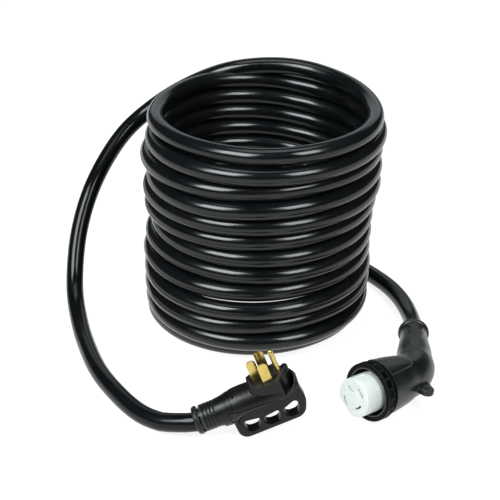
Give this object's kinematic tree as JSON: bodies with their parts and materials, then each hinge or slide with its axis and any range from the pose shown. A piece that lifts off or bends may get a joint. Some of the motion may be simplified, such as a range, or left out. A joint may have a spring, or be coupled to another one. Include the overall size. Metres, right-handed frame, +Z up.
{
  "type": "shore power cord",
  "caption": "Heavy black power cord wound in an upright coil, with a right-angle blade plug on one end and a twist-lock connector on the other.",
  "frame": {"origin": "on the floor, under the middle of the whole object's bounding box", "axes": "+Z up along the coil's axis; -Y toward the side where the plug and the connector lie; +X from the plug toward the connector"},
  "size_m": [0.5354, 0.5586, 0.3479],
  "materials": {
    "jacket": "smooth extruded black jacket, glossy",
    "plug_rubber": "moulded black, satin",
    "connector_rubber": "moulded black, satin",
    "face_plastic": "moulded black",
    "ring_plastic": "moulded black with shallow grips",
    "clip_plastic": "black",
    "seal": "soft black",
    "carrier_white": "white moulded thermoset, satin",
    "blades": "stamped brass",
    "contacts": "stamped brass",
    "screws": "zinc plated",
    "wire_black": "insulation",
    "wire_red": "insulation",
    "wire_white": "insulation",
    "wire_green": "insulation"
  },
  "bodies": {
    "cord_set": {"cord_coil": "jacket", "cord_lead_plug": "jacket", "cord_lead_connector": "jacket", "plug_body": "plug_rubber", "plug_strain_relief": "plug_rubber", "plug_face": "face_plastic", "plug_line_1_blade": "blades", "plug_line_2_blade": "blades", "plug_neutral_blade": "blades", "plug_ground_pin": "blades", "plug_wire_line_1": "wire_black", "plug_wire_line_2": "wire_red", "plug_wire_neutral": "wire_white", "plug_wire_ground": "wire_green", "connector_body": "connector_rubber", "connector_strain_relief": "connector_rubber", "ring_retaining_clip": "clip_plastic", "mouth_seal": "seal", "contact_carrier": "carrier_white", "connector_line_1_contact": "contacts", "connector_line_2_contact": "contacts", "connector_neutral_contact": "contacts", "connector_ground_contact": "contacts", "carrier_screw_1": "screws", "carrier_screw_2": "screws", "connector_wire_line_1": "wire_black", "connector_wire_line_2": "wire_red", "connector_wire_neutral": "wire_white", "connector_wire_ground": "wire_green"},
    "ring": {"locking_ring": "ring_plastic"}
  },
  "joints": [
    {"name": "locking_ring_turn", "type": "hinge", "parent": "cord_set", "child": "ring", "pos_m": [0.16322, -0.21777, 0.04079], "axis": [-0.7613, -0.6411, 0.0976], "continuous": true}
  ]
}
